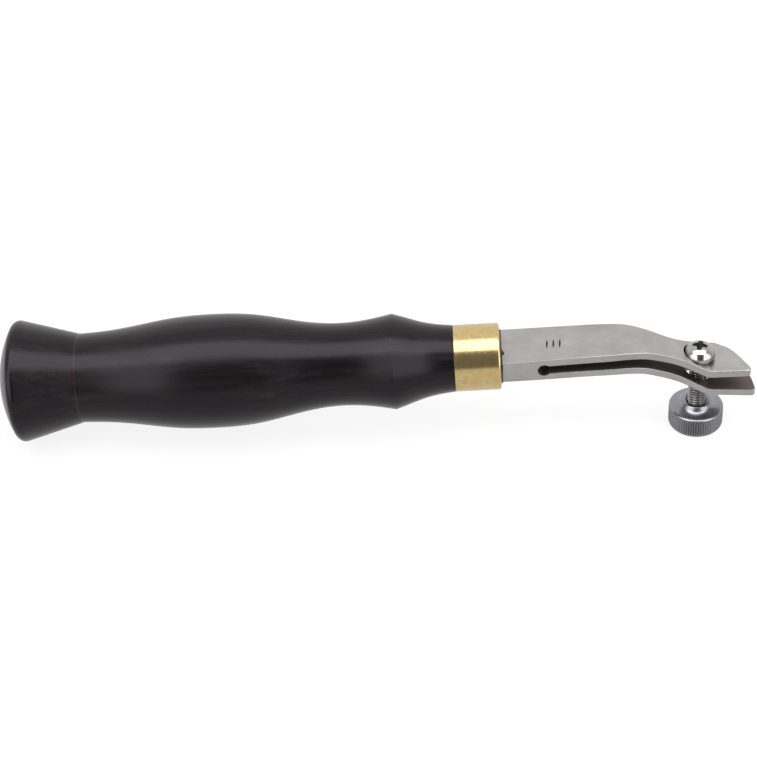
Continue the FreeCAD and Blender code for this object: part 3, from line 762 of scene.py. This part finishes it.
def cross_cutter():
    """The driver's cross recess: a plus-shaped outline that narrows from above the crown to its floor, turned a
    little about the screw."""
    arm, wing, inner = 1.62, 0.42, 0.62
    plus = np.array([(arm, -wing), (arm, wing), (inner, inner), (wing, arm), (-wing, arm), (-inner, inner),
                     (-arm, wing), (-arm, -wing), (-inner, -inner), (-wing, -arm), (wing, -arm), (inner, -inner)])
    long_way = np.abs(plus) > 1.0
    crown = SEAT + HEAD_H
    rows = [np.column_stack([np.where(long_way, plus * spread, plus * waist), np.full(len(plus), z)])
            for z, spread, waist in ((crown + 0.6, 1.0, 1.0), (crown - 0.35, 1.0, 1.0), (crown - 1.5, 0.4, 0.55))]
    turn = math.radians(-15.0)
    x, y, z = np.moveaxis(np.stack(rows), -1, 0)
    turned_rows = [x * math.cos(turn) - y * math.sin(turn), x * math.sin(turn) + y * math.cos(turn), z]
    return capped(np.stack(turned_rows, -1))


def thread_grid():
    """A shank whose radius is a sharp wave of height along the axis less the turn, one pitch for each turn: the
    thread's helix. The lower end is tapered to start in its hole."""
    rows_per_turn = 12
    top = SEAT + 0.3
    rows = int((top - SCREW_END_Z) / THREAD_PITCH * rows_per_turn)
    z = np.linspace(SCREW_END_Z, top, rows)[:, None]
    angle = np.linspace(0, 2 * math.pi, 60, endpoint=False)
    phase = (z / THREAD_PITCH - angle / (2 * math.pi)) % 1.0
    crest = np.clip(1.25 * (1 - np.abs(2 * phase - 1)) - 0.05, 0, 1)
    radius = SCREW_R - THREAD_DEPTH * (1 - crest)
    radius = np.minimum(radius, SCREW_R - 0.35 + (z - SCREW_END_Z) * 1.2)
    body = np.stack([radius * np.cos(angle), radius * np.sin(angle), z + 0 * angle], -1)
    return capped(body)


head_mesh = grid_mesh("screw_head", placed(on_screw_axis(turned(head_profile(), 96))), finishes=[screw_plate])
# the cross recess is painted black as its shade
recess = grid_mesh("recess", placed(on_screw_axis(cross_cutter())), finishes=[black_recess_and_marks])
new_piece("screw_head", smooth(cut(head_mesh, recess), 38.0), screw_plate, "adjuster",
          ["adjusting_screw"])
new_piece("screw_thread", smooth(grid_mesh("screw_thread", placed(on_screw_axis(thread_grid()))), 50.0),
          thread_plate_shaded, "adjuster")


# ---------------------------------------------------------------------------
# Thumb knob
# ---------------------------------------------------------------------------

def knob_grid():
    """The knob's profile turned about the screw, from the bore over the hub, the dished top and the rim to the
    foot. On the band between rim and foot the radius is cut back by a triangle wave, one for each knurl."""
    waist = (KNOB_WAIST_R, KNOB_HUB_Z - KNOB_WAIST_DROP)
    dish = curve_through([(KNOB_HUB_R, KNOB_HUB_Z), waist, (KNOB_BRIM_R, KNOB_TOP_Z)], 18)[:, ::-1]
    foot = arc((KNOB_BOTTOM_Z + KNOB_ROUNDING, KNOB_R - KNOB_ROUNDING), (KNOB_ROUNDING, KNOB_ROUNDING), 90, 180, 7)
    start = [(KNOB_BOTTOM_Z, SCREW_R), (KNOB_HUB_Z - KNOB_MOUTH_DEPTH, SCREW_R), (KNOB_HUB_Z - 0.02, KNOB_MOUTH_R),
             (KNOB_HUB_Z, KNOB_MOUTH_R + 0.06), (KNOB_HUB_Z, KNOB_HUB_R - 0.12), (KNOB_HUB_Z - 0.04, KNOB_HUB_R)]
    rim = [(KNOB_TOP_Z - 0.08, KNOB_R - 0.32), (KNOB_TOP_Z - 0.2, KNOB_R - 0.12), (KNOB_TOP_Z - 0.32, KNOB_R - 0.05)]
    band = [(z, KNOB_R) for z in np.linspace(KNOB_TOP_Z - 0.42, KNOB_BOTTOM_Z + KNOB_ROUNDING, 8)]
    profile = np.array(start + dish[1:].tolist() + rim + band + foot[1:].tolist())
    angle = np.linspace(0, 2 * math.pi, KNURL_TEETH * 8, endpoint=False)
    rings = turned(profile, len(angle))
    z, radius = profile[:, 0], profile[:, 1]
    on_band = (radius > KNOB_R - 0.3) & (z < KNOB_TOP_Z - 0.35)
    wave = 1 - np.abs(2 * ((KNURL_TEETH * angle / (2 * math.pi)) % 1.0) - 1)
    keep = 1 - on_band[:, None] * KNURL_DEPTH * wave / KNOB_R
    rings[..., :2] *= keep[..., None]
    return rings, on_band


knob_rings, band_rows = knob_grid()
knob_mesh = grid_mesh("knob_knurled", placed(on_screw_axis(knob_rings)), along=True,
                      finishes=[knob_plate, knurl_plate])
new_piece("knob_knurled", smooth(knob_mesh, 40.0), knob_plate, "adjuster", ["thumb_knob"])
quads_round = knob_rings.shape[1]
band_quads = np.repeat(band_rows, quads_round).astype(np.int32)
knob_mesh.polygons.foreach_set("material_index", band_quads[:len(knob_mesh.polygons)])


# ---------------------------------------------------------------------------
# Camera, floor and light
# ---------------------------------------------------------------------------

scene = bpy.context.scene
scene.view_settings.view_transform = "Standard"


def view_matrix(place, turn_deg, down_deg, roll_deg):
    """A camera at a place that looks along +Y turned to one side, tilted down and rolled."""
    turn, down, roll = (math.radians(v) for v in (turn_deg, down_deg, roll_deg))
    look = Vector((math.sin(turn) * math.cos(down), math.cos(turn) * math.cos(down), -math.sin(down)))
    right = look.cross(Vector((0, 0, 1))).normalized()
    up = right.cross(look)
    right, up = math.cos(roll) * right + math.sin(roll) * up, math.cos(roll) * up - math.sin(roll) * right
    axes = Matrix((right, up, -look)).transposed().to_4x4()
    return Matrix.Translation(place) @ axes


lens = bpy.data.cameras.new("camera")
lens.lens = 96.76
lens.sensor_width = 36.0
lens.clip_start, lens.clip_end = 0.01, 20.0
lens.shift_x, lens.shift_y = 0.0002, 0.0006
camera = bpy.data.objects.new("camera", lens)
scene.collection.objects.link(camera)
camera.matrix_world = view_matrix((0.004916, -0.342833, 0.301904), -0.770, 40.110, -0.960)
scene.camera = camera


def white_floor():
    """A matt white table that also glows a little, as a light table does, so that shadows stay faint."""
    material = bpy.data.materials.new("floor_white")
    material.use_nodes = True
    tree = material.node_tree
    tree.nodes.clear()
    matt = add(tree, "ShaderNodeBsdfDiffuse", {"Color": linear("#5c5c5c")})
    glow = add(tree, "ShaderNodeEmission", {"Color": (1.0, 1.0, 1.0, 1.0), "Strength": 0.85})
    both = add(tree, "ShaderNodeAddShader", {0: matt.outputs[0], 1: glow.outputs[0]})
    add(tree, "ShaderNodeOutputMaterial", {"Surface": both.outputs[0]})
    return material


reach = 3.0
corners = np.array([[(-reach, -reach, 0.0), (reach, -reach, 0.0)], [(-reach, reach, 0.0), (reach, reach, 0.0)]])
floor_mesh = grid_mesh("floor", corners, around=False)
if floor_mesh.polygons[0].normal.z < 0:
    floor_mesh.flip_normals()
floor = new_piece("floor", floor_mesh, white_floor(), None)


def softbox(name, place, aim, width, depth, radiance):
    """A rectangular light; its power is radiance times pi times its area."""
    light = bpy.data.lights.new(name, "AREA")
    light.shape, light.size, light.size_y = "RECTANGLE", width, depth
    light.energy = radiance * math.pi * width * depth
    box = bpy.data.objects.new(name, light)
    scene.collection.objects.link(box)
    box.location = place
    box.rotation_euler = (Vector(aim) - Vector(place)).to_track_quat("-Z", "Y").to_euler()


softbox("softbox_overhead", (0.0, -0.107, 0.62), (0.0, -0.107, 0.0), 0.9, 0.43, 4.5)


def studio_world():
    """A light tent that is open towards the front: a pale wall behind, a dim room in front, and a bright panel on
    each side of the opening. The wall's brightness follows the direction's Y. A panel shines where the size of X
    is large and Y points to the front."""
    world = bpy.data.worlds.new("studio")
    world.use_nodes = True
    tree = world.node_tree
    tree.nodes.clear()
    direction = add(tree, "ShaderNodeTexCoord")
    split = add(tree, "ShaderNodeSeparateXYZ", {"Vector": direction.outputs["Generated"]})
    behind = add(tree, "ShaderNodeMapRange", {"Value": split.outputs["Y"], "From Min": -0.2, "From Max": 0.4,
                                              "To Min": 0.2, "To Max": 1.3}, interpolation_type="SMOOTHSTEP")
    sideways = add(tree, "ShaderNodeMath", {0: split.outputs["X"]}, operation="ABSOLUTE")
    beside = add(tree, "ShaderNodeMapRange", {"Value": sideways.outputs[0], "From Min": 0.28, "From Max": 0.45,
                                              "To Min": 0.0, "To Max": 1.0}, interpolation_type="SMOOTHSTEP")
    ahead = add(tree, "ShaderNodeMapRange", {"Value": split.outputs["Y"], "From Min": -0.35, "From Max": -0.05,
                                             "To Min": 3.2, "To Max": 0.9}, interpolation_type="SMOOTHSTEP")
    panels = add(tree, "ShaderNodeMath", {0: beside.outputs["Result"], 1: ahead.outputs["Result"]},
                 operation="MULTIPLY")
    walls = add(tree, "ShaderNodeMath", {0: behind.outputs["Result"], 1: panels.outputs[0]}, operation="MAXIMUM")
    sky = add(tree, "ShaderNodeBackground", {"Color": (1.0, 1.0, 1.0, 1.0), "Strength": walls.outputs[0]})
    add(tree, "ShaderNodeOutputWorld", {"Surface": sky.outputs[0]})
    return world


scene.world = studio_world()
